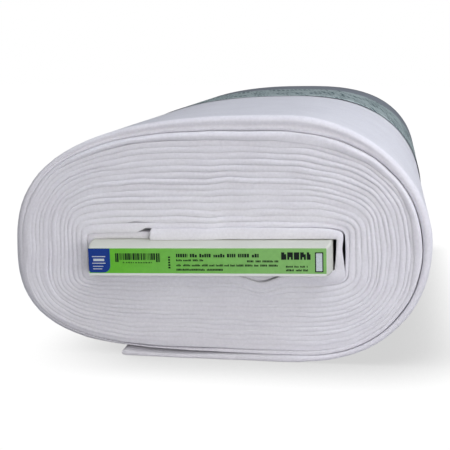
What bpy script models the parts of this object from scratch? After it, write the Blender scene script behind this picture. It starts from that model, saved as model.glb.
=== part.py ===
# Roll of fusible fleece wound flat on a cardboard board, with its end label and instruction strip.
# Metres, +Z up. The roll lies along Y and its label end faces -Y.
import math

import bmesh
import bpy
from mathutils import Matrix, Vector

# Cloth: 45 inch goods folded in half lengthwise, the folds at the label end.
FOLDED_WIDTH = 0.572
TURNS_EXTRA_STEPS = 40          # steps of the last part turn, down to the inner end
FULL_TURNS = 17

# Cardboard board, about 8 inch goods size, pushed out at the label end, where it is pinched narrower.
BOARD_WIDTH = 0.210
BOARD_THICK = 0.028
BOARD_END_WIDTH = 0.2007
BOARD_END_THICK = 0.0244
BOARD_ROUNDING = 0.002
BOARD_TILT = math.radians(1.6)
BOARD_CENTRE = (-0.0151, 0.0922)
BOARD_END_CENTRE = (-0.0141, 0.0932)
BOARD_OUT = 0.030               # how far it stands out in front of the folds
BOARD_IN = 0.006                # how far its far end stays inside the roll
SLOT_CLEARANCE = 0.0004          # above and below the board
SLOT_LEFT_CLEARANCE = 0.0010
SLOT_RIGHT_CLEARANCE = 0.0024
SIDE_SHIFT = 0.0005             # brings the bounding box's middle to X = 0

LABEL_THICK = 0.001
LABEL_MARGIN = 0.0016
LABEL_ROUNDING = 0.0012
JOINT_GAP = 0.0003

STRIP_FROM = 0.306              # behind the front folds
STRIP_TO = 0.566
STRIP_THICK = 0.001

FOLD_DEPTH = 0.0022             # height of the soft ridge that each fold makes
EDGE_DEPTH = 0.0010             # the same at the cut edges

# Section of the roll: each corner is a superellipse arc (centre, half axes, power).
OUTER = {
    "front": {"left": -0.1930, "right": 0.1741, "left_z": 0.0881, "right_z": 0.1052,
              "top_x": 0.0526, "top": 0.2163, "flat_from": -0.0450, "flat_to": 0.0646,
              "top_left": 2.65, "top_right": 1.855, "low_left": 2.33, "low_right": 2.095},
    "rear": {"left": -0.1860, "right": 0.1889, "left_z": 0.1000, "right_z": 0.0964,
             "top_x": 0.0344, "top": 0.2266, "flat_from": -0.0450, "flat_to": 0.0646,
             "top_left": 2.40, "top_right": 2.66, "low_left": 2.33, "low_right": 2.095},
}
SLOT_FLAT = 0.030               # half of the straight run kept under the board

# Steps round one turn: top right, top left, low left, flat on the floor, low right.
ARC_STEPS = (("top_right", 14), ("top_left", 14), ("low_left", 10), ("flat", 8), ("low_right", 10))
STEPS = sum(count for _, count in ARC_STEPS)
TAIL_STEP = 36                  # step where the loose end stops, low on the left
SLIT_END_STEPS = 39             # steps from there to where the loose turn closes on the roll
ROWS = 4

FAT_TURN = 1.2                  # extra thickness of the loose outer turn, in turns
RIPPLE = {"x": 0.020, "half_width": 0.017, "depth": 0.0065, "from_z": 0.050, "full_z": 0.078}


def clear_scene():
    for old in list(bpy.data.objects):
        bpy.data.objects.remove(old, do_unlink=True)


def lerp(a, b, t):
    return a + (b - a) * t


def smooth(t):
    t = min(max(t, 0.0), 1.0)
    return t * t * (3.0 - 2.0 * t)


def principled(name, rgb, roughness):
    material = bpy.data.materials.new(name)
    material.use_nodes = True
    shader = material.node_tree.nodes["Principled BSDF"]
    shader.inputs["Base Color"].default_value = (*rgb, 1.0)
    shader.inputs["Roughness"].default_value = roughness
    shader.inputs["Metallic"].default_value = 0.0
    material.diffuse_color = (*rgb, 1.0)
    return material


def station(step):
    # Angle round the section and the slide along the flat underside, for a step of one turn.
    step = step % STEPS
    for arc, count in ARC_STEPS:
        if step < count:
            share = step / count
            break
        step -= count
    if arc == "top_right":
        return math.radians(90.0 * share), 0.0
    if arc == "top_left":
        return math.radians(90.0 + 90.0 * share), 0.0
    if arc == "low_left":
        return math.radians(180.0 + 90.0 * share), 0.0
    if arc == "flat":
        return math.radians(270.0), share
    return math.radians(270.0 + 90.0 * share), 1.0


def corner(side, along):
    return lerp(OUTER["front"][side], OUTER["rear"][side], along)


def section_point(out, step, along):
    # Point of the wound section: out is 0 at the slot and 1 at the outermost line.
    angle, slide = station(step)
    c = math.cos(angle)
    s = math.sin(angle)
    board_x, board_z = BOARD_CENTRE
    half_t = BOARD_THICK / 2 + SLOT_CLEARANCE
    rightward = c > 1e-9 or (abs(c) <= 1e-9 and slide > 0.5)
    if s >= -1e-9:
        in_x = board_x
        out_x = corner("top_x", along)
        out_rise = corner("top", along)
    else:
        in_x = board_x + lerp(-SLOT_FLAT, SLOT_FLAT, slide)
        out_x = lerp(corner("flat_from", along), corner("flat_to", along), slide)
        out_rise = 0.0
    side_x = corner("right" if rightward else "left", along)
    side_z = corner("right_z" if rightward else "left_z", along)
    slot_right = board_x + BOARD_WIDTH / 2 + SLOT_RIGHT_CLEARANCE
    slot_left = board_x - BOARD_WIDTH / 2 - SLOT_LEFT_CLEARANCE
    slot_side = slot_right if rightward else slot_left
    power = corner(("top_" if s >= -1e-9 else "low_") + ("right" if rightward else "left"), along)
    # Square at the board's corners, rounder with every turn.
    power = power / max(out, 1e-6) ** 0.7
    if power > 60.0:
        length = max(abs(c), abs(s))
    else:
        length = (abs(c) ** power + abs(s) ** power) ** (1.0 / power)
    centre_x = lerp(in_x, out_x, out)
    centre_z = lerp(board_z, side_z, out)
    half_x = abs(lerp(slot_side, side_x, out) - centre_x)
    half_z = abs(lerp(board_z + math.copysign(half_t, s), out_rise, out) - centre_z)
    x = centre_x + half_x * c / length
    z = centre_z + half_z * s / length
    z += math.tan(BOARD_TILT) * (x - board_x) * (1.0 - out) ** 2
    if s < 0.0:
        wave = math.exp(-((x - RIPPLE["x"]) / RIPPLE["half_width"]) ** 2)
        reach = (z - RIPPLE["from_z"]) / (RIPPLE["full_z"] - RIPPLE["from_z"])
        z -= RIPPLE["depth"] * wave * smooth(reach)
    return x, z


def fat_share(step):
    # The loose outer turn is thick over the top and right, and pressed flat underneath.
    angle = math.degrees(station(step)[0])
    away = abs((angle - 65.0 + 180.0) % 360.0 - 180.0)
    if away >= 135.0:
        return 0.0
    return FAT_TURN * math.cos(math.radians(90.0 * away / 135.0)) ** 1.4


def wound_out(index):
    # How far out the cloth's outer face lies, index steps in from the loose end.
    turns = FULL_TURNS + TURNS_EXTRA_STEPS / STEPS
    turn = index / STEPS
    step = TAIL_STEP + index
    fat = fat_share(step)
    uneven = 0.10 * math.sin(5.1 * turn) + 0.07 * math.sin(11.3 * turn + 1.0)
    uneven *= smooth(turn - 0.8) * smooth((turns - turn) / 1.5)
    taken = turn + fat * smooth((turn - 0.76) / 0.24) + uneven
    return max(0.0, 1.0 - taken / (turns + fat))


def slit_width(index):
    # Dark gap between the loose outer turn and the roll: widest low on the right.
    angle = math.degrees(station(TAIL_STEP + index)[0])
    away = abs((angle - 345.0 + 180.0) % 360.0 - 180.0)
    wide = 0.0011 + 0.0013 * smooth(1.0 - away / 85.0)
    close = smooth((SLIT_END_STEPS - index) / 12.0)
    return wide * close


def outer_face(index, along):
    x, z = section_point(wound_out(index), TAIL_STEP + index, along)
    angle = math.degrees(station(TAIL_STEP + index)[0])
    if index < STEPS / 2 and 180.0 < angle <= 270.0:
        z = 0.0
    return x, z


def loose_inner_face(index, along):
    # Inner face of the loose turn: the next turn's outer face, moved out by the slit.
    step = TAIL_STEP + index
    at_slot = Vector(section_point(0.0, step, along))
    at_rim = Vector(section_point(1.0, step, along))
    reach = (at_rim - at_slot).length
    out = wound_out(index + STEPS) + slit_width(index) / reach
    return section_point(out, step, along)


def slot_point(step, along):
    return section_point(0.0, step, along)


def build_roll():
    # One solid: the spiral's end faces, its outside with the loose turn's slit, and its slot.
    mesh = bmesh.new()
    last = FULL_TURNS * STEPS + TURNS_EXTRA_STEPS
    front_y = 0.0
    ends = (("front", 0.0, front_y, FOLD_DEPTH), ("rear", 1.0, FOLDED_WIDTH, -EDGE_DEPTH))
    rings = {}
    for end, along, face_y, depth in ends:
        outer = {}
        inner = {}
        crest = {}
        slot = [mesh.verts.new((x, face_y + depth, z))
                for x, z in (slot_point(step, along) for step in range(STEPS))]

        def turn_vert(index):
            if index >= last:
                return slot[(TAIL_STEP + index) % STEPS]
            if index not in outer:
                x, z = outer_face(index, along)
                outer[index] = mesh.verts.new((x, face_y + depth, z))
            return outer[index]

        def under_vert(index):
            if index >= SLIT_END_STEPS:
                return turn_vert(index + STEPS)
            if index not in inner:
                x, z = loose_inner_face(index, along)
                inner[index] = mesh.verts.new((x, face_y + depth, z))
            return inner[index]

        for index in range(last):
            over = turn_vert(index).co
            under = under_vert(index).co
            middle = (over + under) / 2
            crest[index] = mesh.verts.new((middle.x, face_y, middle.z))
        crest[last] = turn_vert(last)
        nose_at = (turn_vert(0).co + under_vert(0).co) / 2
        thick = (turn_vert(0).co - under_vert(0).co).length
        nose = mesh.verts.new((nose_at.x - thick * 0.5, face_y + depth, nose_at.z))
        rings[end] = {"outer": outer, "inner": inner, "slot": slot, "nose": nose}

        def face(*verts):
            kept = [v for i, v in enumerate(verts) if v is not verts[i - 1]]
            if len(kept) < 3:
                return
            mesh.faces.new(kept if end == "front" else kept[::-1])

        for index in range(last):
            face(turn_vert(index), turn_vert(index + 1), crest[index + 1], crest[index])
            face(crest[index], crest[index + 1], under_vert(index + 1), under_vert(index))
        face(nose, turn_vert(0), crest[0])
        face(nose, crest[0], under_vert(0))

    def loop(end):
        ring = rings[end]
        run = [ring["nose"]]
        run += [ring["outer"][i] for i in range(STEPS + SLIT_END_STEPS + 1)]
        run += [ring["inner"][i] for i in range(SLIT_END_STEPS - 1, -1, -1)]
        return run

    skin(mesh, loop("front"), loop("rear"), ROWS)
    skin(mesh, rings["rear"]["slot"][::-1], rings["front"]["slot"][::-1], 1, turned=True)
    return mesh


def skin(mesh, near, far, rows, turned=False):
    # Joins two rings of the same count with rows of faces.
    count = len(near)
    levels = [near]
    for row in range(1, rows):
        t = row / rows
        levels.append([mesh.verts.new(a.co.lerp(b.co, t)) for a, b in zip(near, far)])
    levels.append(far)
    for low, high in zip(levels, levels[1:]):
        for i in range(count):
            j = (i + 1) % count
            quad = (low[i], high[i], high[j], low[j])
            mesh.faces.new(quad if not turned else quad[::-1])


def build_strip():
    # Clear instruction strip lying on the outside near the far end.
    mesh = bmesh.new()
    first = 13
    last = STEPS - 7
    rows = []
    for y in (STRIP_FROM, lerp(STRIP_FROM, STRIP_TO, 0.5), STRIP_TO):
        along = (y - FOLD_DEPTH) / (FOLDED_WIDTH - EDGE_DEPTH - FOLD_DEPTH)
        points = [Vector(outer_face(i, along)) for i in range(first - 1, last + 2)]
        under = []
        over = []
        for before, here, after in zip(points, points[1:], points[2:]):
            tangent = (after - before).normalized()
            away = Vector((tangent.y, -tangent.x))
            low = here + away * (JOINT_GAP + 0.0001)
            high = low + away * STRIP_THICK
            under.append(mesh.verts.new((low.x, y, low.y)))
            over.append(mesh.verts.new((high.x, y, high.y)))
        rows.append(over + under[::-1])
    count = len(rows[0])
    for near, far in zip(rows, rows[1:]):
        for i in range(count):
            j = (i + 1) % count
            mesh.faces.new((near[i], far[i], far[j], near[j]))
    half = count // 2
    for row, flip in ((rows[0], False), (rows[-1], True)):
        for i in range(half - 1):
            quad = (row[i], row[i + 1], row[count - 2 - i], row[count - 1 - i])
            mesh.faces.new(quad if not flip else quad[::-1])
    return mesh


def add_object(name, mesh, material, offset, smooth_angle=None):
    bmesh.ops.recalc_face_normals(mesh, faces=mesh.faces)
    data = bpy.data.meshes.new(name)
    mesh.to_mesh(data)
    mesh.free()
    data.materials.append(material)
    placed = bpy.data.objects.new(name, data)
    placed.location = offset
    bpy.context.scene.collection.objects.link(placed)
    if smooth_angle is not None:
        data.polygons.foreach_set("use_smooth", [True] * len(data.polygons))
        data.set_sharp_from_angle(angle=math.radians(smooth_angle))
    return placed


def rounded_section(mesh, width, height, rounding, centre, y):
    # Ring of a box section with its four long edges rounded.
    ring = []
    for corner_at in range(4):
        mid = math.radians(45.0 + 90.0 * corner_at)
        at_x = math.copysign(width / 2 - rounding, math.cos(mid))
        at_z = math.copysign(height / 2 - rounding, math.sin(mid))
        for turn in (-45.0, -15.0, 15.0, 45.0):
            angle = mid + math.radians(turn)
            x = at_x + rounding * math.cos(angle)
            z = at_z + rounding * math.sin(angle)
            spun = Matrix.Rotation(BOARD_TILT, 2) @ Vector((x, z))
            ring.append(mesh.verts.new((centre[0] + spun.x, y, centre[1] + spun.y)))
    return ring


def build_bar(sections):
    # Bar lofted through box sections from front to back.
    mesh = bmesh.new()
    rings = [rounded_section(mesh, *section) for section in sections]
    for near, far in zip(rings, rings[1:]):
        skin(mesh, near, far, 1)
    mesh.faces.new(rings[0])
    mesh.faces.new(rings[-1][::-1])
    return mesh


def main():
    clear_scene()
    fleece = principled("white_fleece", (0.80, 0.82, 0.85), 0.95)
    card = principled("white_card", (0.86, 0.87, 0.87), 0.60)
    paper = principled("green_label_paper", (0.12, 0.42, 0.10), 0.50)
    film = principled("printed_clear_film", (0.30, 0.38, 0.36), 0.35)

    # The row's middle in Y, between the label's face and the cloth's far edges.
    label_face = -BOARD_OUT - JOINT_GAP - LABEL_THICK
    middle = (label_face + FOLDED_WIDTH) / 2
    offset = Vector((SIDE_SHIFT, -middle, 0.0))
    add_object("fleece_roll", build_roll(), fleece, offset, 50)
    add_object("instruction_strip", build_strip(), film, offset, 50)

    board_end = (BOARD_END_WIDTH, BOARD_END_THICK, BOARD_ROUNDING, BOARD_END_CENTRE, -BOARD_OUT)
    board_body = (BOARD_WIDTH, BOARD_THICK, BOARD_ROUNDING, BOARD_CENTRE)
    board = build_bar((board_end, (*board_body, 0.0), (*board_body, FOLDED_WIDTH - BOARD_IN)))
    add_object("board", board, card, offset, 40)

    label_size = (BOARD_END_WIDTH - LABEL_MARGIN, BOARD_END_THICK - LABEL_MARGIN,
                  LABEL_ROUNDING, BOARD_END_CENTRE)
    label_back = -BOARD_OUT - JOINT_GAP
    label = build_bar(((*label_size, label_back - LABEL_THICK), (*label_size, label_back)))
    add_object("end_label", label, paper, offset, 40)


main()
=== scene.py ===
import math
import random

import bmesh
import bpy
from mathutils import Matrix, Vector, noise


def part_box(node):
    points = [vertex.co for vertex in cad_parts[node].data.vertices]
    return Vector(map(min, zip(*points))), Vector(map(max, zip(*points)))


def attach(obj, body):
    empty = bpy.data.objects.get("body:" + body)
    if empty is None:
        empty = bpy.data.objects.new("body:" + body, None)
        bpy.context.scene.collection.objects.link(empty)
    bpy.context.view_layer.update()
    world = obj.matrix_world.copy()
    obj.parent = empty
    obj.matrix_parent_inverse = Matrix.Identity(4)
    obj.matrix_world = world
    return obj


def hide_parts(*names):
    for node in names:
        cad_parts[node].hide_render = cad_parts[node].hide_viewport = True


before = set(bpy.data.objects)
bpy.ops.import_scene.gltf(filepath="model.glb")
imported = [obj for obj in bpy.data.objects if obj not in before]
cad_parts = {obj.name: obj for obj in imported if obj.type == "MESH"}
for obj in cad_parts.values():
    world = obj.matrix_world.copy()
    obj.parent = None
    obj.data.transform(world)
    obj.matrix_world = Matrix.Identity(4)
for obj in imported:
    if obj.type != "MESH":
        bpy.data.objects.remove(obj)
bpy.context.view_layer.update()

# White fusible fleece, folded double and wound flat on a goods board. Metres, +Z up, label end towards -Y.
rollLow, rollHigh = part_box("fleece_roll")
foldY = rollLow[1]                      # plane of the folds at the labelled end
edgeY = rollHigh[1]                     # plane of the cloth's cut edges at the far end
sideShift = 0.0005                     # the frame's middle against the section's own zero


def lerp(a, b, t):
    return a + (b - a) * t


def smooth(t):
    t = min(max(t, 0.0), 1.0)
    return t * t * (3.0 - 2.0 * t)


def hexColour(text):
    # sRGB hex to the linear colour that shaders read
    parts = [int(text[i:i + 2], 16) / 255.0 for i in (1, 3, 5)]
    linear = [p / 12.92 if p <= 0.04045 else ((p + 0.055) / 1.055) ** 2.4 for p in parts]
    return (*linear, 1.0)


def addNode(tree, kind, settings=None, links=None):
    # one node (a shader one without its prefix), its sockets or properties by name or number, and its links
    node = tree.nodes.new(kind if "Node" in kind else "ShaderNode" + kind)
    for key, value in (settings or {}).items():
        if isinstance(key, int) or key in node.inputs:
            node.inputs[key].default_value = value
        else:
            setattr(node, key, value)
    for key, (source, output) in (links or {}).items():
        tree.links.new(source.outputs[output], node.inputs[key])
    return node


def startMaterial(name):
    material = bpy.data.materials.new(name)
    material.use_nodes = True
    tree = material.node_tree
    tree.nodes.clear()
    return material, tree


def tint(tree, colours, share, grain, low, high):
    # a colour between two, mottled darker and lighter by a noise
    mixed = addNode(tree, "Mix", {"data_type": "RGBA", 6: hexColour(colours[0]), 7: hexColour(colours[1])},
                    {0: share})
    shade = addNode(tree, "MapRange", {"From Min": 0.3, "From Max": 0.7, "To Min": low, "To Max": high},
                    {"Value": (grain, "Fac")})
    return addNode(tree, "VectorMath", {"operation": "SCALE"}, {0: (mixed, 2), "Scale": (shade, "Result")})


def finishSurface(tree, settings, colour, rough, bump=None):
    links = {"Base Color": colour, "Roughness": (rough, "Result")}
    if bump:
        links["Normal"] = (bump, "Normal")
    shader = addNode(tree, "BsdfPrincipled", settings, links)
    addNode(tree, "OutputMaterial", {}, {"Surface": (shader, "BSDF")})


def linkObject(holder):
    bpy.context.scene.collection.objects.link(holder)


def placeMesh(name, mesh, material, smoothShade=True):
    # bmesh to an object whose own place is the origin
    data = bpy.data.meshes.new(name)
    mesh.to_mesh(data)
    mesh.free()
    data.materials.append(material)
    piece = bpy.data.objects.new(name, data)
    linkObject(piece)
    for face in data.polygons:
        face.use_smooth = smoothShade
    return piece


# The section repeats the solid's: superellipse corners outside, the board's rectangle inside.
winding = {
    "steps": (("topRight", 14), ("topLeft", 14), ("lowLeft", 10), ("flat", 8), ("lowRight", 10)),
    "tailStep": 35.85,                  # where the loose end stops, low on the left
    "turns": 17 + 40 / 56,
    "front": {"left": -0.1930, "right": 0.1741, "leftZ": 0.0881, "rightZ": 0.1052,
              "topX": 0.0526, "top": 0.2163, "flatFrom": -0.0450, "flatTo": 0.0646,
              "topLeft": 2.65, "topRight": 1.855, "lowLeft": 2.45, "lowRight": 2.095},
    "rear": {"left": -0.1860, "right": 0.1889, "leftZ": 0.1000, "rightZ": 0.0964,
             "topX": 0.0344, "top": 0.2266, "flatFrom": -0.0450, "flatTo": 0.0646,
             "topLeft": 2.40, "topRight": 2.66, "lowLeft": 2.33, "lowRight": 2.095},
    "slotFlat": 0.030,
    "fatTurn": 1.45, "fatLow": 0.25,    # extra thickness of the loose outer turn, in turns, on top and below
    "fatRight": 0.45,                   # and low on the right
    "fatSecond": 0.45,                  # and of the turn under it
    "innerEnd": 17.225,                 # turns to the cloth's inner end, under the board
    "tongueTurn": 16.683,               # turns to where the fold steps back at the board's top left
    "slitEnd": 44.5,                    # steps from the loose end to where the outer turn closes
    "slit": {"width": 0.0006, "wider": 0.0004, "at": 330.0, "reach": 60.0,
             "mouth": 0.0018, "mouthSteps": 10.0},
    "ripple": {"x": 0.028, "halfWidth": 0.015, "depth": 0.0070, "fromZ": 0.046, "fullZ": 0.078},
    "waviness": 0.0016,
    "ledge": {"x": -0.008, "reach": 0.016, "rise": 0.0017, "z": 0.146, "halfHeight": 0.036},
    # how thick each turn lies against the others, from the second one inwards
    "packing": (1.00, 1.00, 0.95, 1.02, 1.02, 0.97, 0.98, 1.02, 0.90, 1.00, 0.97, 1.02,
                1.12, 1.10, 0.93, 1.10, 1.75),
}
board = {
    "width": 0.210, "thick": 0.028, "endWidth": 0.2007, "endThick": 0.0244, "rounding": 0.0020,
    "tilt": math.radians(1.6), "centre": (-0.0151, 0.0922), "endCentre": (-0.0141, 0.0932),
    "out": 0.030, "inset": 0.006, "gap": 0.0004, "gapLeft": 0.0010, "gapRight": 0.0024,
}
stepsPerTurn = sum(count for arc, count in winding["steps"])


def station(step):
    # angle round the section and slide along the flat underside
    step = step % stepsPerTurn
    for arc, count in winding["steps"]:
        if step < count:
            break
        step -= count
    share = step / count
    start = {"topRight": 0.0, "topLeft": 90.0, "lowLeft": 180.0, "flat": 270.0, "lowRight": 270.0}[arc]
    if arc == "flat":
        return math.radians(270.0), share
    return math.radians(start + 90.0 * share), 1.0 if arc == "lowRight" else 0.0


def sectionPoint(out, step, along):
    # out is 0 at the board's slot and 1 at the outermost line
    angle, slide = station(step)
    c, s = math.cos(angle), math.sin(angle)
    boardX, boardZ = board["centre"]
    rightward = c > 1e-9 or (abs(c) <= 1e-9 and slide > 0.5)
    upper = s >= -1e-9
    side = "right" if rightward else "left"
    size = {key: lerp(winding["front"][key], winding["rear"][key], along) for key in winding["front"]}
    if upper:
        inX, outX, outRise = boardX, size["topX"], size["top"]
    else:
        inX = boardX + lerp(-winding["slotFlat"], winding["slotFlat"], slide)
        outX, outRise = lerp(size["flatFrom"], size["flatTo"], slide), 0.0
    slotSide = boardX + (board["width"] / 2 + board["gapRight"] if rightward
                         else -board["width"] / 2 - board["gapLeft"])
    slotRise = board["thick"] / 2 + board["gap"]
    power = size[("top" if upper else "low") + side.capitalize()] / max(out, 1e-6) ** 0.7
    length = max(abs(c), abs(s)) if power > 60.0 else (abs(c) ** power + abs(s) ** power) ** (1.0 / power)
    centreX = lerp(inX, outX, out)
    centreZ = lerp(boardZ, size[side + "Z"], out)
    halfX = abs(lerp(slotSide, size[side], out) - centreX)
    halfZ = abs(lerp(boardZ + math.copysign(slotRise, s), outRise, out) - centreZ)
    x = centreX + halfX * c / length
    z = centreZ + halfZ * s / length
    z += math.tan(board["tilt"]) * (x - boardX) * (1.0 - out) ** 2
    if upper:
        # a slight ledge in the cloth under it lifts every turn over the board's middle
        ledge = winding["ledge"]
        rise = smooth((x - ledge["x"]) / ledge["reach"] + 0.5) - 0.5
        z += ledge["rise"] * rise * math.exp(-((z - ledge["z"]) / ledge["halfHeight"]) ** 2)
    else:
        ripple = winding["ripple"]
        wave = math.exp(-((x - ripple["x"]) / ripple["halfWidth"]) ** 2)
        near = smooth((z - ripple["fromZ"]) / (ripple["fullZ"] - ripple["fromZ"]))
        z -= ripple["depth"] * wave * near * smooth(out / 0.026)
    # hand winding leaves the turns faintly wavy between the board and the outermost one
    wavy = winding["waviness"] * smooth((out - 0.05) / 0.15) * smooth((0.93 - out) / 0.15)
    z += wavy * noise.noise(Vector((x * 38.0, 1.7, z * 55.0)))
    x += wavy * noise.noise(Vector((x * 55.0, 6.1, z * 38.0)))
    return Vector((x + sideShift, 0.0, z))


def awayFrom(angle, middle):
    return abs((angle - middle + 180.0) % 360.0 - 180.0)


def angleAt(index):
    return math.degrees(station(winding["tailStep"] + index)[0])


def woundOut(index):
    # how far out the cloth's outer face lies, index steps in from the loose end
    turn = index / stepsPerTurn
    turns = winding["turns"]
    away = awayFrom(angleAt(index), 65.0)
    fat = winding["fatLow"]
    second = 0.0
    if away < 135.0:
        rise = math.cos(math.radians(90.0 * away / 135.0))
        fat += (winding["fatTurn"] - fat) * rise ** 1.4
        second = winding["fatSecond"] * rise
    fat += winding["fatRight"] * smooth(1.0 - awayFrom(angleAt(index), 322.0) / 34.0)
    packed = whole = 0.0
    for number, share in enumerate(winding["packing"]):
        packed += share * min(max(turn - 1.0 - number, 0.0), 1.0)
        whole += share * min(turns - 1.0 - number, 1.0)
    taken = min(turn, 1.0) + packed / whole * (turns - 1.0)
    taken += fat * smooth((turn - 0.76) / 0.24) + second * smooth((turn - 1.76) / 0.24)
    out = max(0.0, 1.0 - taken / (turns + fat + second))
    # the last fold swells before it steps back, and past the inner end there is no cloth
    past = index - winding["tongueTurn"] * stepsPerTurn
    out += 0.008 * smooth((past + 9.0) / 5.0) if past < 0.0 else -0.024
    return max(out, 0.0) * (1.0 - smooth((turn - winding["innerEnd"]) / 0.008))


fleece = {
    "stationStep": 0.5,                 # steps between stations along the cloth
    "turnGap": 0.00003,                 # half of the hairline between turns
    "crestWander": 0.0009, "edgeWander": 0.0014,
    "hairHeight": 0.00035,
    "tip": 0.16,                        # steps over which the loose end is rounded off
    "unevenness": 0.0005, "unevennessSize": 45.0,
    # along the cloth in steps from its loose end, level before the first point and after the last:
    # how far the fold lies back, how deep its shoulders are, how far it swells over the turn inside it,
    # the gap to that turn, how far the outer face stands out, how its outer side falls back, its groove
    "setBack": ((8, -0.0016), (15, -0.0004), (20, -0.0004), (34, 0.0), (42, 0.0014), (56, 0.0018),
                (65, 0.0016), (73, -0.0006), (78, -0.0014), (94, -0.0012), (104, 0.0), (120, 0.0),
                (124, 0.0006), (142, 0.0006), (150, 0.0), (796, 0.0),
                (802, 0.0012), (808, 0.0012), (812, 0.0), (851, 0.0),
                (856, 0.0028), (865, 0.0028), (869, 0.0)),
    "shoulder": ((0, 0.0010), (15, 0.0018), (20, 0.0030), (24, 0.0036), (34, 0.0036), (40, 0.0020),
                 (48, 0.0016), (56, 0.0026), (64, 0.0020), (73, 0.0018),
                 (78, 0.0034), (94, 0.0030), (102, 0.0010)),
    "leftLines": {4: 0.5, 7: 1.3, 10: 0.5, 12: 0.7, 13: 0.9, 14: 0.9, 15: 1.0},
    "holes": ((822.9, 0.6, 0.0014), (907.6, 1.5, 0.0012)),
    "standOff": {"at": 917.8, "reach": 8.0, "over": 0.0030, "under": 0.0006},
    "swellIn": ((66, 0.0), (75, 1.0), (80, 1.0), (88, 0.2), (92, 0.0)),
    "lineGap": ((46, 0.0), (52, 0.0010), (57, 0.0016), (66, 0.0012), (74, 0.0)),
    "bulge": ((41, 0.0), (46, 0.0018), (49, 0.0030), (52, 0.0052), (54.5, 0.0038), (56.5, 0.0)),
    "lean": ((6, 0.0), (14, 0.0016), (24, 0.0016), (30, 0.0), (36, 0.0), (43, 0.0010), (47, 0.0044),
             (51, 0.0086), (55, 0.0096), (59, 0.0), (92, 0.0), (102, 0.0014), (112, 0.0014), (120, 0.0)),
    "groove": ((26, 0.0), (31, 0.0024), (38, 0.0026), (45, 0.0)),
}


def fleeceMaterial():
    # Needled polyester fleece, loose matt fibre: a soft white with faint cloudy tufts and a downy rim
    material, tree = startMaterial("needledPolyesterFleece")
    place = addNode(tree, "TexCoord")
    cloud = addNode(tree, "TexNoise", {"Scale": 30.0, "Detail": 3.0}, {"Vector": (place, "Object")})
    tuft = addNode(tree, "TexNoise", {"Scale": 420.0, "Detail": 4.0, "Roughness": 0.65},
                   {"Vector": (place, "Object")})
    hair = addNode(tree, "TexNoise", {"Scale": 1500.0, "Detail": 2.0}, {"Vector": (place, "Object")})
    tinted = tint(tree, ("#e2e0e6", "#efeef3"), (cloud, "Fac"), tuft, 0.94, 1.03)
    height = addNode(tree, "Math", {"operation": "MULTIPLY_ADD", 1: 0.35},
                     {0: (hair, "Fac"), 2: (tuft, "Fac")})
    bump = addNode(tree, "Bump", {"Strength": 0.5, "Distance": fleece["hairHeight"]},
                   {"Height": (height, "Value")})
    rough = addNode(tree, "MapRange", {"To Min": 0.90, "To Max": 1.0}, {"Value": (tuft, "Fac")})
    finishSurface(tree, {"Sheen Weight": 0.08, "Sheen Roughness": 0.6, "Specular IOR Level": 0.2, "IOR": 1.45,
                         "Subsurface Weight": 0.6, "Subsurface Scale": 0.0012,
                         "Subsurface Radius": (1.0, 1.0, 1.0)},
                  (tinted, "Vector"), rough, bump)
    return material


def turnNumber(index):
    # turns counted afresh at the middle of the underside, so one number goes once round
    return math.floor((index - 5.0) / stepsPerTurn)


def between(index, points):
    # value at this index on the straight lines from point to point
    for (before, low), (after, high) in zip(points, points[1:]):
        if index <= after:
            return lerp(low, high, max(0.0, (index - before) / (after - before)))
    return points[-1][1]


def slitWidth(index):
    # the loose outer turn parts from the roll, mostly low on the right and above the loose end
    slit = winding["slit"]
    wide = slit["width"] + slit["wider"] * smooth(1.0 - awayFrom(angleAt(index), slit["at"]) / slit["reach"])
    wide += slit["mouth"] * smooth(1.0 - index / slit["mouthSteps"])
    return wide * smooth((winding["slitEnd"] - index) / 12.0)


def guideStation(index, along):
    # the cloth's outer and inner face at one station of the section
    step = winding["tailStep"] + index
    reach = (sectionPoint(1.0, step, along) - sectionPoint(0.0, step, along)).length
    outShare, inShare = woundOut(index), woundOut(index + stepsPerTurn)
    gap = fleece["turnGap"]
    beside = smooth(1.0 - abs(index - fleece["standOff"]["at"]) / fleece["standOff"]["reach"])
    bulge = between(index, fleece["bulge"]) * (1.0 - along)
    over = sectionPoint(outShare - (gap + fleece["standOff"]["over"] * beside - bulge) / reach, step, along)
    gap += fleece["standOff"]["under"] * beside
    if index < winding["slitEnd"]:
        gap = max(gap, slitWidth(index))
    for at in (winding["tongueTurn"] * stepsPerTurn, winding["innerEnd"] * stepsPerTurn):
        if abs(index + stepsPerTurn - at) < 1.0:    # the turn outside bridges a step in the one it lies on
            inShare = max(inShare, woundOut(index + stepsPerTurn - 0.5))
    gap += between(index, fleece["lineGap"])
    for middle, half, wide in fleece["holes"]:
        gap += wide * smooth(1.0 - abs(index - middle) / half)
    under = sectionPoint(min(inShare + gap / reach, outShare - 0.0008 / reach), step, along)
    if index < stepsPerTurn / 2 and 180.0 < angleAt(index) <= 270.0:
        over.z = 0.0
    return over, under


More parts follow.
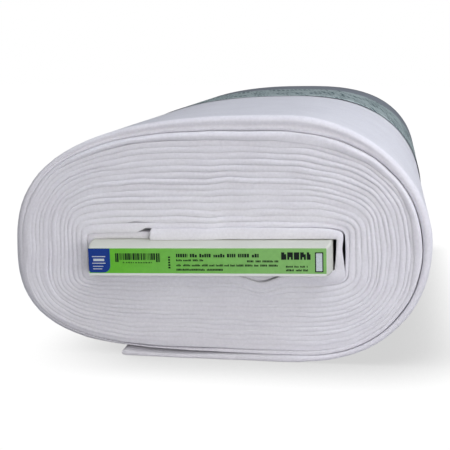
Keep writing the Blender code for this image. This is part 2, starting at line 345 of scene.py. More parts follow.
def foldManner(index):
    # how far back the fold starts, how deep its shoulders go and how much it swells over its neighbours
    angle, number = angleAt(index), turnNumber(index)
    about = Vector((2.2 * math.cos(math.radians(angle)), 2.2 * math.sin(math.radians(angle)), 7.7 * number))
    lively = 2.0 * noise.noise(about)
    left = smooth(1.0 - awayFrom(angle, 190.0) / 70.0)
    low = smooth(1.0 - awayFrom(angle, 270.0) / 60.0)
    right = smooth(1.0 - awayFrom(angle, 340.0) / 75.0)
    side = max(left, 0.45 * right)
    proud = number % 2 == 0
    side *= 1.0 - left
    crest = (-0.0003 if proud else 0.0006) * side - 0.0004 * lively * (1.0 - 0.8 * left)
    swell = (0.62 + 0.3 * lively) * side if proud else 0.0
    crest += between(index, fleece["setBack"])
    depth = between(index, fleece["shoulder"])
    if number > 0:
        faint = 1.0 - fleece["leftLines"].get(number, 0.12)
        depth *= (1.0 - max(faint * left, 0.6 * low)) * (1.0 + 0.8 * lively)
    if number <= 0:
        swell = 0.0
    swellIn = max(swell, between(index, fleece["swellIn"]))
    return crest, max(depth, 0.0001), max(swell, 0.0), max(swellIn, 0.0)


def windingGuide():
    # four rows of guide points along the cloth, and the traits of each station
    last = winding["innerEnd"] * stepsPerTurn
    tongue = winding["tongueTurn"] * stepsPerTurn
    stations = [fleece["stationStep"] * i for i in range(1, int(last / fleece["stationStep"]))]
    stations += [0.0, 0.004, 0.012, 0.028, 0.05, 0.08, 0.12, 0.16, 0.26, last, last - 0.1]
    stations += [tongue + extra for extra in (-0.22, -0.14, -0.07, 0.0, 0.07, 0.16)]
    rows = {"frontOver": [], "frontUnder": [], "rearOver": [], "rearUnder": []}
    traits = {"foldDepth": [], "dent": [], "swellOut": [], "swellIn": [], "lean": [], "run": []}
    run, before = 0.0, None
    for index in sorted(stations):
        turn = index / stepsPerTurn
        number = turnNumber(index)
        over, under = guideStation(index, 0.0)
        overRear, underRear = guideStation(index, 1.0)
        if index < fleece["tip"]:
            tip = math.sqrt(1.0 - (1.0 - index / fleece["tip"]) ** 2)
            middle, middleRear = (over + under) / 2, (overRear + underRear) / 2
            over, under = middle.lerp(over, tip), middle.lerp(under, tip)
            overRear, underRear = middleRear.lerp(overRear, tip), middleRear.lerp(underRear, tip)
        thick = (over - under).length
        crest, depth, swellOut, swellIn = foldManner(index)
        crest += fleece["crestWander"] * noise.noise(Vector((over.x * 34.0, over.z * 34.0, number * 5.3)))
        if turn > winding["tongueTurn"]:
            crest += 0.0045 * smooth((index - tongue) / 0.16)
        elif turn > winding["tongueTurn"] - 0.4:
            crest -= 0.0030 * smooth((turn - winding["tongueTurn"] + 0.4) / 0.1)
        edge = [fleece["edgeWander"]
                * noise.noise(Vector((overRear.x * 14.0, overRear.z * 14.0, number * 3.1 + layer)))
                for layer in (0.0, 1.5)]
        rows["frontOver"].append((over.x, foldY + 0.0012 + crest, over.z))
        rows["frontUnder"].append((under.x, foldY + 0.0012 + crest, under.z))
        rows["rearOver"].append((overRear.x, edgeY - 0.0012 + edge[0], overRear.z))
        rows["rearUnder"].append((underRear.x, edgeY - 0.0012 + edge[1], underRear.z))
        traits["foldDepth"].append(min(depth, 0.8 * thick))
        traits["dent"].append(between(index, fleece["groove"]))
        traits["lean"].append(between(index, fleece["lean"]))
        traits["swellOut"].append(swellOut)
        traits["swellIn"].append(swellIn)
        if before is not None:
            run += (over - before).length
        before = over
        traits["run"].append(run)
    return rows, traits, run


def clothProfile():
    # across the cloth: outer face, round the fold, inner face, cut edges, and between the two layers
    profile = []
    for deep in (1.0, 0.93, 0.84, 0.74, 0.64, 0.54, 0.45, 0.36, 0.27, 0.19, 0.12, 0.065, 0.03):
        profile.append({"through": 0.0, "deep": deep, "rounding": 1.0, "crest": 0.0, "swell": 0.0})
    for turn in range(15):
        angle = math.radians(180.0 * turn / 14)
        across = 0.5 - 0.5 * math.cos(angle)
        profile.append({"through": across, "deep": 0.0,
                        "rounding": lerp(1.0 - math.sin(angle), (2.0 * across - 1.0) ** 2, 0.6),
                        "crest": math.exp(-((across - 0.60) / 0.14) ** 2), "swell": across - 0.5})
    for deep in (0.007, 0.02, 0.06, 0.18, 0.45, 0.75, 1.0):
        profile.append({"through": 1.0, "deep": deep, "rounding": 1.0, "crest": 0.0, "swell": 0.0})
    for through, deep in ((0.53, 1.0), (0.51, 0.9), (0.50, 0.012), (0.49, 0.9), (0.47, 1.0)):
        profile.append({"through": through, "deep": deep, "rounding": 1.0, "crest": 0.0, "swell": 0.0})
    return profile


def windTree(material):
    # Geometry Nodes: carries the profile along the guide points and closes it into one doubled cloth
    tree = bpy.data.node_groups.new("windDoubledCloth", "GeometryNodeTree")
    tree.interface.new_socket(name="Guide", in_out="INPUT", socket_type="NodeSocketGeometry")
    for name, kind in (("Stations", "NodeSocketInt"), ("Profile Points", "NodeSocketInt"),
                       ("Hand Unevenness", "NodeSocketFloat"), ("Unevenness Size", "NodeSocketFloat")):
        tree.interface.new_socket(name=name, in_out="INPUT", socket_type=kind)
    tree.interface.new_socket(name="Cloth", in_out="OUTPUT", socket_type="NodeSocketGeometry")
    given = addNode(tree, "NodeGroupInput")
    grid = addNode(tree, "GeometryNodeMeshGrid", {"Size X": 1.0, "Size Y": 1.0},
                   {"Vertices X": (given, "Stations"), "Vertices Y": (given, "Profile Points")})
    index = addNode(tree, "GeometryNodeInputIndex")
    shared = addNode(tree, "Math", {"operation": "DIVIDE"},
                     {0: (index, "Index"), 1: (given, "Profile Points")})
    nudged = addNode(tree, "Math", {"operation": "ADD", 1: 0.001}, {0: (shared, "Value")})
    along = addNode(tree, "Math", {"operation": "FLOOR"}, {0: (nudged, "Value")})
    used = addNode(tree, "Math", {"operation": "MULTIPLY"},
                   {0: (along, "Value"), 1: (given, "Profile Points")})
    across = addNode(tree, "Math", {"operation": "SUBTRACT"}, {0: (index, "Index"), 1: (used, "Value")})
    position = addNode(tree, "GeometryNodeInputPosition")
    guides = []
    for row in range(4):
        at = addNode(tree, "Math", {"operation": "MULTIPLY_ADD", 0: float(row)},
                     {1: (given, "Stations"), 2: (along, "Value")})
        guides.append(addNode(tree, "GeometryNodeSampleIndex", {"data_type": "FLOAT_VECTOR"},
                              {"Geometry": (given, "Guide"), "Value": (position, "Position"),
                               "Index": (at, "Value")}))
    profileAt = addNode(tree, "Math", {"operation": "MULTIPLY_ADD", 0: 4.0},
                        {1: (given, "Stations"), 2: (across, "Value")})
    trait = {}
    for name in ("through", "deep", "rounding", "crest", "swell",
                 "foldDepth", "dent", "swellOut", "swellIn", "lean"):
        named = addNode(tree, "GeometryNodeInputNamedAttribute", {"data_type": "FLOAT", "Name": name})
        place = profileAt if name in ("through", "deep", "rounding", "crest", "swell") else along
        trait[name] = addNode(tree, "GeometryNodeSampleIndex", {"data_type": "FLOAT"},
                              {"Geometry": (given, "Guide"), "Value": (named, "Attribute"),
                               "Index": (place, "Value")})
    outward = addNode(tree, "Math", {"operation": "MINIMUM", 1: 0.0}, {0: (trait["swell"], "Value")})
    inward = addNode(tree, "Math", {"operation": "MAXIMUM", 1: 0.0}, {0: (trait["swell"], "Value")})
    leant = addNode(tree, "Math", {"operation": "MULTIPLY_ADD"},
                    {0: (outward, "Value"), 1: (trait["swellOut"], "Value"), 2: (trait["through"], "Value")})
    swollen = addNode(tree, "Math", {"operation": "MULTIPLY_ADD"},
                      {0: (inward, "Value"), 1: (trait["swellIn"], "Value"), 2: (leant, "Value")})
    faces = []
    for over, under in ((0, 1), (2, 3)):
        faces.append(addNode(tree, "Mix", {"data_type": "VECTOR", "clamp_factor": False},
                             {0: (swollen, "Value"), 4: (guides[over], "Value"),
                              5: (guides[under], "Value")}))
    laid = addNode(tree, "Mix", {"data_type": "VECTOR", "clamp_factor": False},
                   {0: (trait["deep"], "Value"), 4: (faces[0], 1), 5: (faces[1], 1)})
    back = addNode(tree, "Math", {"operation": "MULTIPLY"},
                   {0: (trait["rounding"], "Value"), 1: (trait["foldDepth"], "Value")})
    outside = addNode(tree, "Math", {"operation": "SUBTRACT", 0: 1.0}, {1: (trait["through"], "Value")})
    leaning = addNode(tree, "Math", {"operation": "MULTIPLY_ADD"},
                      {0: (outside, "Value"), 1: (trait["lean"], "Value"), 2: (back, "Value")})
    dented = addNode(tree, "Math", {"operation": "MULTIPLY_ADD"},
                     {0: (trait["crest"], "Value"), 1: (trait["dent"], "Value"), 2: (leaning, "Value")})
    notEdge = addNode(tree, "Math", {"operation": "SUBTRACT", 0: 1.0}, {1: (trait["deep"], "Value")})
    depth = addNode(tree, "Math", {"operation": "MULTIPLY"},
                    {0: (dented, "Value"), 1: (notEdge, "Value")})
    pushed = addNode(tree, "CombineXYZ", {}, {"Y": (depth, "Value")})
    shaped = addNode(tree, "GeometryNodeSetPosition", {},
                     {"Geometry": (grid, "Mesh"), "Position": (laid, 1), "Offset": (pushed, "Vector")})
    patch = addNode(tree, "TexNoise", {"Detail": 1.0}, {"Scale": (given, "Unevenness Size")})
    centred = addNode(tree, "VectorMath", {"operation": "SUBTRACT", 1: (0.5, 0.5, 0.5)},
                      {0: (patch, "Color")})
    uneven = addNode(tree, "VectorMath", {"operation": "SCALE"},
                     {0: (centred, "Vector"), "Scale": (given, "Hand Unevenness")})
    worn = addNode(tree, "GeometryNodeSetPosition", {},
                   {"Geometry": (shaped, "Geometry"), "Offset": (uneven, "Vector")})
    joined = addNode(tree, "GeometryNodeMergeByDistance", {"Distance": 0.000002},
                     {"Geometry": (worn, "Geometry")})
    softly = addNode(tree, "GeometryNodeSetShadeSmooth", {"Shade Smooth": True},
                     {"Geometry": (joined, "Geometry")})
    plain = addNode(tree, "GeometryNodeRealizeInstances", {}, {"Geometry": (softly, "Geometry")})
    dressed = addNode(tree, "GeometryNodeSetMaterial", {"Material": material},
                      {"Geometry": (plain, "Geometry")})
    addNode(tree, "NodeGroupOutput", {}, {"Cloth": (dressed, "Geometry")})
    return tree


def windFleece(material):
    rows, traits, run = windingGuide()
    count = len(traits["run"])
    profile = clothProfile()
    profile.append(dict(profile[0]))    # the profile closes on itself
    points = rows["frontOver"] + rows["frontUnder"] + rows["rearOver"] + rows["rearUnder"]
    points += [(0.0, 0.0, 0.0)] * len(profile)
    data = bpy.data.meshes.new("fleeceGuide")
    data.from_pydata(points, [], [])
    for name, values in traits.items():
        layer = data.attributes.new(name, "FLOAT", "POINT")
        layer.data.foreach_set("value", values + [0.0] * (len(points) - count))
    for name in ("through", "deep", "rounding", "crest", "swell"):
        layer = data.attributes.new(name, "FLOAT", "POINT")
        layer.data.foreach_set("value", [0.0] * (4 * count) + [point[name] for point in profile])
    guide = bpy.data.objects.new("fleeceGuide", data)
    linkObject(guide)
    tree = windTree(material)
    sockets = {item.name: item.identifier for item in tree.interface.items_tree if item.in_out == "INPUT"}
    wind = guide.modifiers.new("windDoubledCloth", "NODES")
    wind.node_group = tree
    wind[sockets["Stations"]] = count
    wind[sockets["Profile Points"]] = len(profile)
    wind[sockets["Hand Unevenness"]] = fleece["unevenness"]
    wind[sockets["Unevenness Size"]] = fleece["unevennessSize"]
    evaluated = guide.evaluated_get(bpy.context.evaluated_depsgraph_get())
    woundData = bpy.data.meshes.new_from_object(evaluated)
    guide.modifiers.clear()
    bpy.data.objects.remove(guide, do_unlink=True)
    mesh = bmesh.new()
    mesh.from_mesh(woundData)
    bpy.data.meshes.remove(woundData)
    rims = [edge for edge in mesh.edges if len(edge.link_faces) == 1]
    bmesh.ops.holes_fill(mesh, edges=rims, sides=0)
    bmesh.ops.recalc_face_normals(mesh, faces=mesh.faces)
    for vert in mesh.verts:
        vert.co.z = max(vert.co.z, 0.0)
    piece = placeMesh("woundFleece", mesh, material)
    area = sum(face.area for face in piece.data.polygons)
    print(f"fleece wound: {run:.2f} m of doubled cloth, {len(piece.data.polygons)} faces, "
          f"area {area:.2f}, open {len(rims)}")
    return piece, run


def boardMaterial():
    # Paper-faced cardboard, calendered white: faintly grey fibre flecks and a dull, slightly uneven face
    material, tree = startMaterial("paperFacedCardboard")
    place = addNode(tree, "TexCoord")
    fleck = addNode(tree, "TexNoise", {"Scale": 900.0, "Detail": 3.0}, {"Vector": (place, "Object")})
    cloud = addNode(tree, "TexNoise", {"Scale": 28.0, "Detail": 2.0}, {"Vector": (place, "Object")})
    tinted = tint(tree, ("#d2d4c8", "#e2e3d8"), (cloud, "Fac"), fleck, 0.96, 1.02)
    bump = addNode(tree, "Bump", {"Strength": 0.35, "Distance": 0.0001}, {"Height": (fleck, "Fac")})
    rough = addNode(tree, "MapRange", {"To Min": 0.55, "To Max": 0.72}, {"Value": (cloud, "Fac")})
    finishSurface(tree, {"Specular IOR Level": 0.35, "IOR": 1.5}, (tinted, "Vector"), rough, bump)
    return material


def boxRing(mesh, width, height, rounding, centre, y, arcs=5):
    ring = []
    for cornerAt in range(4):
        mid = math.radians(45.0 + 90.0 * cornerAt)
        atX = math.copysign(width / 2 - rounding, math.cos(mid))
        atZ = math.copysign(height / 2 - rounding, math.sin(mid))
        for turn in range(arcs + 1):
            angle = mid + math.radians(lerp(-45.0, 45.0, turn / arcs))
            spun = Matrix.Rotation(board["tilt"], 2) @ Vector((atX + rounding * math.cos(angle),
                                                               atZ + rounding * math.sin(angle)))
            ring.append(mesh.verts.new((centre[0] + sideShift + spun.x, y, centre[1] + spun.y)))
    return ring


def loft(mesh, rings):
    for near, far in zip(rings, rings[1:]):
        for i in range(len(near)):
            j = (i + 1) % len(near)
            mesh.faces.new((near[i], far[i], far[j], near[j]))
    mesh.faces.new(rings[0])
    mesh.faces.new(rings[-1][::-1])
    bmesh.ops.recalc_face_normals(mesh, faces=mesh.faces)


def makeBoard(material):
    # its end is pinched narrower in front of the folds, with the edges rounded over
    mesh = bmesh.new()
    endY = foldY - board["out"]
    rings = []
    for back, inset in ((0.0, 0.0008), (0.0003, 0.0003), (0.0010, 0.0)):
        rings.append(boxRing(mesh, board["endWidth"] - 2 * inset, board["endThick"] - 2 * inset,
                             board["rounding"] - inset, board["endCentre"], endY + back))
    for share in (0.25, 0.5, 0.75, 0.92, 1.0):
        bow = 0.0006 * math.sin(math.pi * share)
        width = lerp(board["endWidth"], board["width"], share) + 2 * bow
        height = lerp(board["endThick"], board["thick"], share)
        centre = [lerp(a, b, share) for a, b in zip(board["endCentre"], board["centre"])]
        rings.append(boxRing(mesh, width, height, board["rounding"], centre,
                             endY + 0.001 + share * (board["out"] - 0.001)))
    rings.append(boxRing(mesh, board["width"], board["thick"], board["rounding"], board["centre"],
                         edgeY - board["inset"] - 0.0006))
    rings.append(boxRing(mesh, board["width"] - 0.0012, board["thick"] - 0.0012, board["rounding"] - 0.0006,
                         board["centre"], edgeY - board["inset"]))
    loft(mesh, rings)
    return placeMesh("goodsBoard", mesh, material, smoothShade=False)


label = {
    "thick": 0.0004, "margin": 0.0006, "lift": 0.0003, "whiteFoot": 0.0026,
    "printLift": 0.00004, "printThick": 0.00006,
    "barcode": {"from": 0.0236, "to": 0.0620, "low": 0.0140, "high": 0.0197, "guardLow": 0.0122},
    "mark": {"from": 0.0004, "to": 0.0190, "low": 0.0032, "high": 0.0238, "rounding": 0.0060},
    "window": {"from": 0.1908, "to": 0.1976, "low": 0.0040, "high": 0.0206, "frame": 0.0009},
    "blocks": {"low": 0.0144, "high": 0.0206, "notchLow": 0.0165, "notchHigh": 0.0190,
               "at": ((0.1632, 0.0042), (0.1682, 0.0046), (0.1736, 0.0044), (0.1788, 0.0046),
                      (0.1842, 0.0030))},
    "sideDashes": {"from": 0.0688, "low": 0.0068, "pitch": 0.0022, "tall": 0.0014},
    "overprint": 0.00008,               # how far the pale bars lie above the blue block
    "paleBars": ((0.0035, 0.0150, 0.0165, 0.0172), (0.0035, 0.0150, 0.0108, 0.0115),
                 (0.0045, 0.0140, 0.0130, 0.0150), (0.0040, 0.0130, 0.0082, 0.0088),
                 (0.0040, 0.0120, 0.0060, 0.0066)),
}
# lines of dashes: start and end along the label, height on it, dash height, widest dash
labelLines = (
    {"from": 0.0756, "to": 0.1450, "at": 0.0178, "tall": 0.0030, "word": 0.0110},
    {"from": 0.0756, "to": 0.0990, "at": 0.0138, "tall": 0.0017, "word": 0.0090},
    {"from": 0.1350, "to": 0.1610, "at": 0.0130, "tall": 0.0017, "word": 0.0090},
    {"from": 0.0756, "to": 0.1620, "at": 0.0095, "tall": 0.0017, "word": 0.0080},
    {"from": 0.0756, "to": 0.1150, "at": 0.0058, "tall": 0.0017, "word": 0.0300},
    {"from": 0.1670, "to": 0.1850, "at": 0.0086, "tall": 0.0015, "word": 0.0060},
    {"from": 0.1670, "to": 0.1860, "at": 0.0056, "tall": 0.0017, "word": 0.0070},
    {"from": 0.0300, "to": 0.0560, "at": 0.0118, "tall": 0.0012, "word": 0.0018},
)


def onLabel(u, v, lift):
    # u from the label's left edge, v up from its foot, lift out of the paper
    width = board["endWidth"] - 2 * label["margin"]
    height = board["endThick"] - 2 * label["margin"]
    flat = Matrix.Rotation(board["tilt"], 2) @ Vector((u - width / 2 - label["margin"],
                                                       v - height / 2 - label["margin"]))
    y = foldY - board["out"] - label["lift"] - label["thick"] - lift
    return Vector((board["endCentre"][0] + sideShift + flat.x, y, board["endCentre"][1] + flat.y))


def addPlate(mesh, corners):
    # thin printed plate from corner points (u, v) given in order round it
    lift = label["printLift"]
    near = [mesh.verts.new(onLabel(u, v, lift + label["printThick"])) for u, v in corners]
    far = [mesh.verts.new(onLabel(u, v, lift)) for u, v in corners]
    mesh.faces.new(near)
    mesh.faces.new(far[::-1])
    for i in range(len(near)):
        j = (i + 1) % len(near)
        mesh.faces.new((near[i], far[i], far[j], near[j]))


def addBar(mesh, left, right, low, high):
    addPlate(mesh, ((left, low), (right, low), (right, high), (left, high)))


def inkMaterial(name, colour):
    # Offset printing ink, pressed flat: a dense dull colour with slight speckle where it missed the paper
    material, tree = startMaterial(name)
    place = addNode(tree, "TexCoord")
    speck = addNode(tree, "TexNoise", {"Scale": 1600.0, "Detail": 2.0}, {"Vector": (place, "Object")})
    shade = addNode(tree, "MapRange", {"From Min": 0.35, "From Max": 0.75, "To Min": 0.9, "To Max": 1.25},
                    {"Value": (speck, "Fac")})
    base = addNode(tree, "RGB")
    base.outputs[0].default_value = hexColour(colour)
    tinted = addNode(tree, "VectorMath", {"operation": "SCALE"},
                     {0: (base, "Color"), "Scale": (shade, "Result")})
    rough = addNode(tree, "MapRange", {"To Min": 0.40, "To Max": 0.60}, {"Value": (speck, "Fac")})
    finishSurface(tree, {"Specular IOR Level": 0.15}, (tinted, "Vector"), rough)
    return material


def labelMaterial():
    # Coated label paper printed green to a white foot: smooth, with the green a little paler to the right
    material, tree = startMaterial("printedLabelPaper")
    place = addNode(tree, "UVMap", {"uv_map": "labelUv"})
    split = addNode(tree, "SeparateXYZ", {}, {"Vector": (place, "UV")})
    cloud = addNode(tree, "TexNoise", {"Scale": 260.0, "Detail": 2.0}, {"Vector": (place, "UV")})
    sideways = addNode(tree, "MapRange", {"From Min": 0.02, "From Max": 0.15}, {"Value": (split, "X")})
    tinted = tint(tree, ("#68be34", "#86be6c"), (sideways, "Result"), cloud, 0.95, 1.05)
    foot = addNode(tree, "MapRange", {"From Min": label["whiteFoot"] - 0.0001,
                                      "From Max": label["whiteFoot"] + 0.0001},
                   {"Value": (split, "Y")})
    coloured = addNode(tree, "Mix", {"data_type": "RGBA", 6: hexColour("#e6e8e4")},
                       {0: (foot, "Result"), 7: (tinted, "Vector")})
    bump = addNode(tree, "Bump", {"Strength": 0.2, "Distance": 0.00005}, {"Height": (cloud, "Fac")})
    rough = addNode(tree, "MapRange", {"To Min": 0.38, "To Max": 0.52}, {"Value": (cloud, "Fac")})
    finishSurface(tree, {"Specular IOR Level": 0.25}, (coloured, 2), rough, bump)
    return material


def sewSheets(mesh, outer, inner, columns, uvLayer, spots):
    # two faces of a thin sheet, point rows one after another, closed round the rim
    row = columns + 1
    lines = len(outer) // row - 1
    for side, sheet in enumerate((outer, inner)):
        for j in range(lines):
            for i in range(columns):
                at = j * row + i
                quad = [sheet[at], sheet[at + 1], sheet[at + row + 1], sheet[at + row]]
                mesh.faces.new(quad if side == 0 else quad[::-1])
    rim = list(range(row)) + [j * row + columns for j in range(1, lines + 1)]
    rim += [lines * row + i for i in range(columns - 1, -1, -1)] + [j * row for j in range(lines - 1, 0, -1)]
    for a, b in zip(rim, rim[1:] + rim[:1]):
        mesh.faces.new((outer[a], inner[a], inner[b], outer[b]))
    for face in mesh.faces:
        for loop in face.loops:
            loop[uvLayer].uv = spots[loop.vert]
    bmesh.ops.recalc_face_normals(mesh, faces=mesh.faces)


def makeLabel(material):
    # paper laid on the board's end
    margin = label["margin"]
    mesh = bmesh.new()
    uvLayer = mesh.loops.layers.uv.new("labelUv")
    columns, lines = 60, 8
    outer, inner, spots = [], [], {}
    for sheet, lift in ((outer, 0.0), (inner, -label["thick"])):
        for j in range(lines + 1):
            v = lerp(margin, board["endThick"] - margin, j / lines)
            for i in range(columns + 1):
                u = lerp(margin, board["endWidth"] - margin, i / columns)
                vert = mesh.verts.new(onLabel(u, v, lift))
                spots[vert] = (u, v)
                sheet.append(vert)
    sewSheets(mesh, outer, inner, columns, uvLayer, spots)
    return placeMesh("endLabelPaper", mesh, material, smoothShade=False)


def makePrint(black, blue, pale):
    # plain generic print: bars, dashes, a blue block and an empty window, no lettering
    draw = random.Random(7)
    mesh = bmesh.new()
    bars = label["barcode"]
    at = bars["from"]
    while at < bars["to"]:
        wide = draw.choice((0.0004, 0.0007, 0.0011, 0.0014))
        guard = at < bars["from"] + 0.003 or at > bars["to"] - 0.0045
        addBar(mesh, at, min(at + wide, bars["to"]), bars["guardLow"] if guard else bars["low"], bars["high"])
        at += wide + draw.choice((0.00035, 0.0005, 0.0008))
    for line in labelLines:
        at = line["from"]
        while at < line["to"] - 0.0008:
            wide = min(line["word"] * draw.uniform(0.45, 1.0), line["to"] - at)
            letters = at
            while letters < at + wide - 0.0004:
                stroke = min(line["tall"] * draw.uniform(0.35, 0.6), at + wide - letters)
                drop = line["tall"] * draw.choice((0.0, 0.0, 0.25))
                addBar(mesh, letters, letters + stroke, line["at"] - line["tall"] / 2,
                       line["at"] + line["tall"] / 2 - drop)
                letters += stroke + line["tall"] * 0.16
            at += wide + line["tall"] * 0.7
    blocks = label["blocks"]
    low, high = blocks["low"], blocks["high"]
    for at, wide in blocks["at"]:
        addBar(mesh, at, at + 0.36 * wide, low, high)
        addBar(mesh, at + 0.36 * wide, at + 0.64 * wide, draw.choice((low, blocks["notchLow"])), high)
        addBar(mesh, at + 0.64 * wide, at + wide, low, draw.choice((high, blocks["notchHigh"])))
    dashes = label["sideDashes"]
    for at in range(5):
        low = dashes["low"] + at * dashes["pitch"]
        addBar(mesh, dashes["from"], dashes["from"] + draw.uniform(0.0012, 0.0020), low, low + dashes["tall"])
    window = label["window"]
    edge = window["frame"]
    left, right, low, high = window["from"], window["to"], window["low"], window["high"]
    for bar in ((left, right, low, low + edge), (left, right, high - edge, high),
                (left, left + edge, low + edge, high - edge), (right - edge, right, low + edge, high - edge)):
        addBar(mesh, *bar)
    bmesh.ops.recalc_face_normals(mesh, faces=mesh.faces)
    blackPrint = placeMesh("labelBlackPrint", mesh, black, smoothShade=False)

    mesh = bmesh.new()
    mark = label["mark"]
    corners = [(mark["from"], mark["high"]), (mark["from"], mark["low"] + 0.0015)]
    corners += [(mark["from"] + 0.0015, mark["low"])]
    for turn in range(7):
        angle = math.radians(-90.0 + 15.0 * turn)
        corners.append((mark["to"] - mark["rounding"] + mark["rounding"] * math.cos(angle),
                        mark["low"] + mark["rounding"] + mark["rounding"] * math.sin(angle)))
    corners.append((mark["to"], mark["high"]))
    addPlate(mesh, corners)
    bmesh.ops.recalc_face_normals(mesh, faces=mesh.faces)
    bluePrint = placeMesh("labelBlueBlock", mesh, blue, smoothShade=False)

    mesh = bmesh.new()
    addBar(mesh, left + edge, right - edge, low + edge, high - edge)
    label["printLift"] += label["overprint"]
    for bar in label["paleBars"]:
        addBar(mesh, *bar)
    bmesh.ops.recalc_face_normals(mesh, faces=mesh.faces)
    palePrint = placeMesh("labelPalePrint", mesh, pale, smoothShade=False)
    return blackPrint, bluePrint, palePrint


film = {"from": 0.306, "to": 0.566, "thick": 0.0001, "lift": 0.0003, "firstStep": 13.0, "lastStep": 49.0,
        "printFrom": 0.0015, "printTo": 0.165, "rowHeight": 0.030, "strokePitch": 0.0056, "puff": 0.00015}


def filmMaterial():
    # Clear polythene film over white fleece, printed dark green: greyish and glossy, with rows of strokes
    material, tree = startMaterial("printedClearPolythene")
    place = addNode(tree, "UVMap", {"uv_map": "filmUv"})
    split = addNode(tree, "SeparateXYZ", {}, {"Vector": (place, "UV")})
    leant = addNode(tree, "Mapping", {"Rotation": (0.0, 0.0, math.radians(14.0))}, {"Vector": (place, "UV")})
    strokes = addNode(tree, "TexBrick",
                      {"Scale": 1.0, "Mortar Size": 0.0011, "Mortar Smooth": 0.1,
                       "Brick Width": film["strokePitch"], "Row Height": film["rowHeight"], "offset": 0.37,
                       "squash": 0.6, "squash_frequency": 3,
                       "Color1": (1, 1, 1, 1), "Color2": (0.45, 0.45, 0.45, 1), "Mortar": (0, 0, 0, 1)},
                      {"Vector": (leant, "Vector")})
    narrow = addNode(tree, "Mapping", {"Scale": (70.0, 26.0, 1.0)}, {"Vector": (leant, "Vector")})
    breaks = addNode(tree, "TexNoise", {"Scale": 1.0, "Detail": 2.0, "Roughness": 0.6},
                     {"Vector": (narrow, "Vector")})
    cut = addNode(tree, "MapRange", {"From Min": 0.46, "From Max": 0.54}, {"Value": (breaks, "Fac")})
    inked = addNode(tree, "Math", {"operation": "MULTIPLY"}, {0: (strokes, "Color"), 1: (cut, "Result")})
    begins = addNode(tree, "Math", {"operation": "GREATER_THAN", 1: film["printFrom"]}, {0: (split, "Y")})
    ends = addNode(tree, "MapRange", {"From Min": film["printTo"] + 0.004,
                                      "From Max": film["printTo"] - 0.004},
                   {"Value": (split, "Y")})
    band = addNode(tree, "Math", {"operation": "MULTIPLY"}, {0: (begins, "Value"), 1: (ends, "Result")})
    ground = addNode(tree, "Mix", {"data_type": "RGBA", 6: hexColour("#9a9fa6"), 7: hexColour("#c0cecc")},
                     {0: (band, "Value")})
    share = addNode(tree, "Math", {"operation": "MULTIPLY"}, {0: (band, "Value"), 1: (inked, "Value")})
    coloured = addNode(tree, "Mix", {"data_type": "RGBA", 7: hexColour("#1e4c52")},
                       {0: (share, "Value"), 6: (ground, 2)})
    crease = addNode(tree, "TexNoise", {"Scale": 60.0, "Detail": 3.0}, {"Vector": (place, "UV")})
    bump = addNode(tree, "Bump", {"Strength": 0.3, "Distance": 0.0005}, {"Height": (crease, "Fac")})
    rough = addNode(tree, "MapRange", {"To Min": 0.30, "To Max": 0.50}, {"Value": (crease, "Fac")})
    finishSurface(tree, {"Specular IOR Level": 0.35, "IOR": 1.51}, (coloured, 2), rough, bump)
    return material


def makeFilm(material):
    # laid on the outer turn, from low on the right over the top to half height on the left
    mesh = bmesh.new()
    uvLayer = mesh.loops.layers.uv.new("filmUv")
    columns, lines = 150, 16
    inner, outer, spots = [], [], {}
    for j in range(lines + 1):
        depth = lerp(film["from"], film["to"], j / lines)
        along = depth / (edgeY - foldY)
        line = []
        for i in range(-1, columns + 2):
            index = lerp(film["firstStep"], film["lastStep"], i / columns)
            line.append(sectionPoint(woundOut(index), winding["tailStep"] + index, along))
        run = 0.0
        for i in range(1, columns + 2):
            tangent = (line[i + 1] - line[i - 1]).normalized()
            away = Vector((tangent.z, 0.0, -tangent.x))
            run += (line[i] - line[i - 1]).length
            lumps = noise.noise(Vector((line[i].x * 22.0, depth * 16.0, line[i].z * 22.0)))
            puff = film["puff"] * (1.0 + lumps)
            y = foldY + depth
            low = line[i] + away * (film["lift"] + puff)
            high = low + away * film["thick"]
            for sheet, at in ((inner, low), (outer, high)):
                vert = mesh.verts.new((at.x, y, at.z))
                spots[vert] = (run, depth - film["from"])
                sheet.append(vert)
    sewSheets(mesh, outer, inner, columns, uvLayer, spots)
    return placeMesh("printedFilm", mesh, material), run


def floorMaterial():
    # A white paper sweep to the eye, glowing, with a painted shadow where ambient occlusion near the roll
    # dims its glow; to the roll only a dim bounce
    material, tree = startMaterial("whiteSweepPaintedShadow")
    seen = addNode(tree, "LightPath")
    # painted shadow: the occlusion looks left and back, so the painted shadow falls to the roll's right and
    # in front of it
    leftward = Vector((-0.80, 0.40, 0.44)).normalized()
    tilt = addNode(tree, "CombineXYZ", {"X": leftward.x, "Y": leftward.y, "Z": leftward.z})
    near = addNode(tree, "AmbientOcclusion", {"Distance": light["shadowReach"], "samples": 16},
                   {"Normal": (tilt, "Vector")})
    # painted shadow: the occlusion sets how brightly the floor glows to the camera
    shade = addNode(tree, "MapRange", {"From Min": 0.40, "From Max": 0.92, "To Min": 0.64, "To Max": 1.02},
                    {"Value": (near, "AO")})
    shown = addNode(tree, "Emission", {"Color": (1.0, 1.0, 1.0, 1.0)}, {"Strength": (shade, "Result")})
    bounce = addNode(tree, "BsdfDiffuse", {"Color": hexColour("#cbcbcf"), "Roughness": 1.0})
    shader = addNode(tree, "MixShader", {},
                     {0: (seen, "Is Camera Ray"), 1: (bounce, "BSDF"), 2: (shown, "Emission")})
    addNode(tree, "OutputMaterial", {}, {"Surface": (shader, "Shader")})
    return material


def makeFloor():
    mesh = bmesh.new()
    for x, y in ((-6.0, -4.0), (6.0, -4.0), (6.0, 9.0), (-6.0, 9.0)):
        mesh.verts.new((x, y, -0.0002))
    mesh.verts.ensure_lookup_table()
    mesh.faces.new(mesh.verts)
    floor = placeMesh("studioFloor", mesh, floorMaterial(), smoothShade=False)


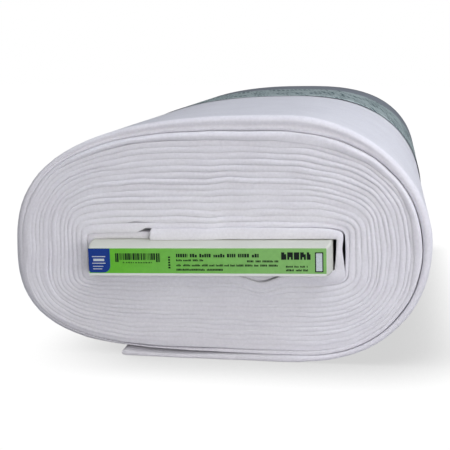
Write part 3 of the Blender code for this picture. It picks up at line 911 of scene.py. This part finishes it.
def addAreaLight(name, place, aim, size, watts, colour):
    lamp = bpy.data.lights.new(name, "AREA")
    lamp.shape = "RECTANGLE"
    lamp.size, lamp.size_y = size
    lamp.energy = watts
    lamp.color = colour[:3]
    holder = bpy.data.objects.new(name, lamp)
    holder.location = place
    holder.rotation_euler = (Vector(aim) - Vector(place)).to_track_quat("-Z", "Y").to_euler()
    linkObject(holder)


light = {"ambientLow": 0.02, "ambientHigh": 0.12, "sky": 0.80, "front": 21.0, "right": 15.5,
         "shadowReach": 0.085}


def lightScene():
    # white to the eye; lit by a wide sky over the camera, one softbox low at its right and a cool one above
    world = bpy.data.worlds.new("whiteStudio")
    world.use_nodes = True
    tree = world.node_tree
    tree.nodes.clear()
    seen = addNode(tree, "LightPath")
    # the room is brightest towards the camera's side and the right, and dim at the left and below
    place = addNode(tree, "TexCoord")
    facing = addNode(tree, "VectorMath", {"operation": "DOT_PRODUCT",
                                          1: Vector((0.10, -0.85, 0.40)).normalized()},
                     {0: (place, "Generated")})
    strength = addNode(tree, "MapRange",
                       {"From Min": -1.0, "To Min": light["ambientLow"], "To Max": light["ambientHigh"]},
                       {"Value": (facing, "Value")})
    ambient = addNode(tree, "Background", {"Color": hexColour("#f8f9ff")}, {"Strength": (strength, "Result")})
    white = addNode(tree, "Background", {"Color": (1.0, 1.0, 1.0, 1.0), "Strength": 1.0})
    shown = addNode(tree, "MixShader", {},
                    {0: (seen, "Is Camera Ray"), 1: (ambient, "Background"), 2: (white, "Background")})
    addNode(tree, "OutputWorld", {}, {"Surface": (shown, "Shader")})
    bpy.context.scene.world = world
    sky = bpy.data.lights.new("skylight", "SUN")
    sky.energy = light["sky"]
    sky.angle = math.radians(60.0)
    sky.color = hexColour("#fffefc")[:3]
    holder = bpy.data.objects.new("skylight", sky)
    holder.rotation_euler = Vector((-0.10, 0.82, -0.56)).to_track_quat("-Z", "Y").to_euler()
    linkObject(holder)
    addAreaLight("softboxFront", (0.85, -1.75, 0.02), (0.0, 0.0, 0.1), (1.1, 1.1), light["front"],
                 hexColour("#fffdfd"))
    addAreaLight("softboxRight", (0.72, -0.40, 1.55), (0.0, 0.0, 0.1), (1.0, 1.0), light["right"],
                 hexColour("#ecf2ff"))
    bpy.context.scene.view_settings.view_transform = "Standard"
    bpy.context.scene.view_settings.look = "None"


camera = {"place": (0.1113, -1.0618, 0.2568), "towards": (-0.1393, 0.9757, -0.1692),
          "lens": 76.0, "sensor": 36.0}


def makeCamera():
    lens = bpy.data.cameras.new("photoCamera")
    lens.lens = camera["lens"]
    lens.sensor_width = camera["sensor"]
    lens.clip_start = 0.01
    holder = bpy.data.objects.new("photoCamera", lens)
    holder.location = camera["place"]
    holder.rotation_euler = Vector(camera["towards"]).to_track_quat("-Z", "Y").to_euler()
    linkObject(holder)
    bpy.context.scene.camera = holder


makeCamera()
lightScene()
makeFloor()
print("stage set")

fleecePiece, clothRun = windFleece(fleeceMaterial())
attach(fleecePiece, "root")
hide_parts("fleece_roll")

boardPiece = makeBoard(boardMaterial())
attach(boardPiece, "root")
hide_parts("board")
print("board made")

labelPiece = makeLabel(labelMaterial())
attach(labelPiece, "root")
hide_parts("end_label")
printPieces = makePrint(inkMaterial("blackOffsetInk", "#14201a"), inkMaterial("blueOffsetInk", "#1c3c8c"),
                        inkMaterial("paleLabelPaper", "#c9d2d6"))
for piece in printPieces:
    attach(piece, "root")
print("label printed")

filmPiece, filmRun = makeFilm(filmMaterial())
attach(filmPiece, "root")
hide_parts("instruction_strip")
print("film laid")
